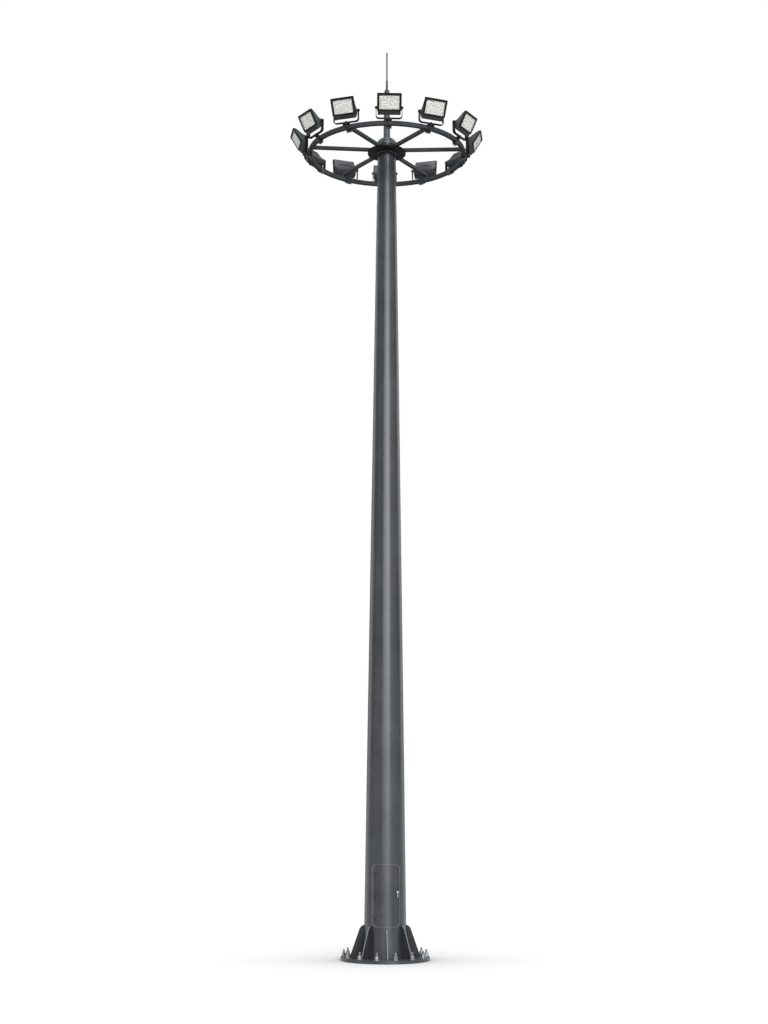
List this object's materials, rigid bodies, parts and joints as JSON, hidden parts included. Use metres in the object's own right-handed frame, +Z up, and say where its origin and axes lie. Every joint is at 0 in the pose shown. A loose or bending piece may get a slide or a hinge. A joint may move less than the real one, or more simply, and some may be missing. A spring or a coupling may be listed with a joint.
{
  "type": "high mast floodlight tower",
  "caption": "Dark grey high mast floodlight tower: round tapered steel mast on a bolted gusseted base with an access door, and a ring of tilting floodlights round its head.",
  "frame": {"origin": "centre of the underside of the base flange, on the mast's centreline", "axes": "+Z up along the mast, -Y out of the access door, +X to the right of someone facing the door"},
  "size_m": [3.9926, 3.8645, 18.28],
  "materials": {
    "mast_paint": "satin",
    "hub_paint": "satin",
    "clamp_paint": "satin",
    "lamp_housing": "satin",
    "lamp_glass": "gloss",
    "bright_steel": "satin",
    "rod_steel": "satin"
  },
  "bodies": {
    "root": {"base_flange": "mast_paint", "base_gussets": "mast_paint", "mast_foot_sill": "mast_paint", "mast_foot_lintel": "mast_paint", "mast_foot_left": "mast_paint", "mast_foot_right": "mast_paint", "mast_foot_back": "mast_paint", "door_frame": "mast_paint", "mast_shaft": "mast_paint", "mast_top_section": "mast_paint", "hub_plate": "hub_paint", "hub_spokes": "mast_paint", "spoke_pads": "mast_paint", "lamp_ring": "mast_paint", "ring_clamps": "clamp_paint", "floodlight_yokes": "clamp_paint", "mast_cap": "mast_paint", "head_pipe": "mast_paint", "rod_socket": "mast_paint", "lightning_rod": "rod_steel"},
    "access_door": {"access_door": "mast_paint"},
    "door_lock": {"door_lock": "bright_steel"},
    "floodlight_01": {"floodlight_01_housing": "lamp_housing", "floodlight_01_glass": "lamp_glass"},
    "floodlight_02": {"floodlight_02_housing": "lamp_housing", "floodlight_02_glass": "lamp_glass"},
    "floodlight_03": {"floodlight_03_housing": "lamp_housing", "floodlight_03_glass": "lamp_glass"},
    "floodlight_04": {"floodlight_04_housing": "lamp_housing", "floodlight_04_glass": "lamp_glass"},
    "floodlight_05": {"floodlight_05_housing": "lamp_housing", "floodlight_05_glass": "lamp_glass"},
    "floodlight_06": {"floodlight_06_housing": "lamp_housing", "floodlight_06_glass": "lamp_glass"},
    "floodlight_07": {"floodlight_07_housing": "lamp_housing", "floodlight_07_glass": "lamp_glass"},
    "floodlight_08": {"floodlight_08_housing": "lamp_housing", "floodlight_08_glass": "lamp_glass"},
    "floodlight_09": {"floodlight_09_housing": "lamp_housing", "floodlight_09_glass": "lamp_glass"},
    "floodlight_10": {"floodlight_10_housing": "lamp_housing", "floodlight_10_glass": "lamp_glass"},
    "floodlight_11": {"floodlight_11_housing": "lamp_housing", "floodlight_11_glass": "lamp_glass"},
    "floodlight_12": {"floodlight_12_housing": "lamp_housing", "floodlight_12_glass": "lamp_glass"}
  },
  "joints": [
    {"name": "access_door_hinge", "type": "hinge", "parent": "root", "child": "access_door", "pos_m": [-0.254, -0.34316, 1.1995], "axis": [0, 0, -1], "range_deg": [0, 115]},
    {"name": "door_lock_turn", "type": "hinge", "parent": "access_door", "child": "door_lock", "pos_m": [0.196, -0.347, 1.265], "axis": [0.4918, -0.8707, 0], "range_deg": [0, 90]},
    {"name": "floodlight_01_tilt", "type": "hinge", "parent": "root", "child": "floodlight_01", "pos_m": [-0.07306, -1.67341, 16.297], "axis": [0.999, -0.0436, 0], "range_deg": [-30, 38]},
    {"name": "floodlight_02_tilt", "type": "hinge", "parent": "root", "child": "floodlight_02", "pos_m": [0.77343, -1.48574, 16.297], "axis": [0.9537, 0.3007, 0], "range_deg": [-28, 40]},
    {"name": "floodlight_03_tilt", "type": "hinge", "parent": "root", "child": "floodlight_03", "pos_m": [1.41268, -0.89998, 16.297], "axis": [0.5807, 0.8141, 0], "range_deg": [-28, 40]},
    {"name": "floodlight_04_tilt", "type": "hinge", "parent": "root", "child": "floodlight_04", "pos_m": [1.67341, -0.07306, 16.297], "axis": [0.1822, 0.9833, 0], "range_deg": [-32, 36]},
    {"name": "floodlight_05_tilt", "type": "hinge", "parent": "root", "child": "floodlight_05", "pos_m": [1.48574, 0.77343, 16.297], "axis": [-0.5807, 0.8141, 0], "range_deg": [-16, 52]},
    {"name": "floodlight_06_tilt", "type": "hinge", "parent": "root", "child": "floodlight_06", "pos_m": [0.89998, 1.41268, 16.297], "axis": [-0.9367, 0.3502, 0], "range_deg": [-10, 58]},
    {"name": "floodlight_07_tilt", "type": "hinge", "parent": "root", "child": "floodlight_07", "pos_m": [0.07306, 1.67341, 16.297], "axis": [-0.999, 0.0436, 0], "range_deg": [-10, 58]},
    {"name": "floodlight_08_tilt", "type": "hinge", "parent": "root", "child": "floodlight_08", "pos_m": [-0.77343, 1.48574, 16.297], "axis": [-0.9636, -0.2672, 0], "range_deg": [-10, 58]},
    {"name": "floodlight_09_tilt", "type": "hinge", "parent": "root", "child": "floodlight_09", "pos_m": [-1.41268, 0.89998, 16.297], "axis": [-0.6494, -0.7604, 0], "range_deg": [-16, 52]},
    {"name": "floodlight_10_tilt", "type": "hinge", "parent": "root", "child": "floodlight_10", "pos_m": [-1.67341, 0.07306, 16.297], "axis": [0.0958, -0.9954, 0], "range_deg": [-32, 36]},
    {"name": "floodlight_11_tilt", "type": "hinge", "parent": "root", "child": "floodlight_11", "pos_m": [-1.48574, -0.77343, 16.297], "axis": [0.5075, -0.8616, 0], "range_deg": [-28, 40]},
    {"name": "floodlight_12_tilt", "type": "hinge", "parent": "root", "child": "floodlight_12", "pos_m": [-0.89998, -1.41268, 16.297], "axis": [0.9239, -0.3827, 0], "range_deg": [-28, 40]}
  ]
}
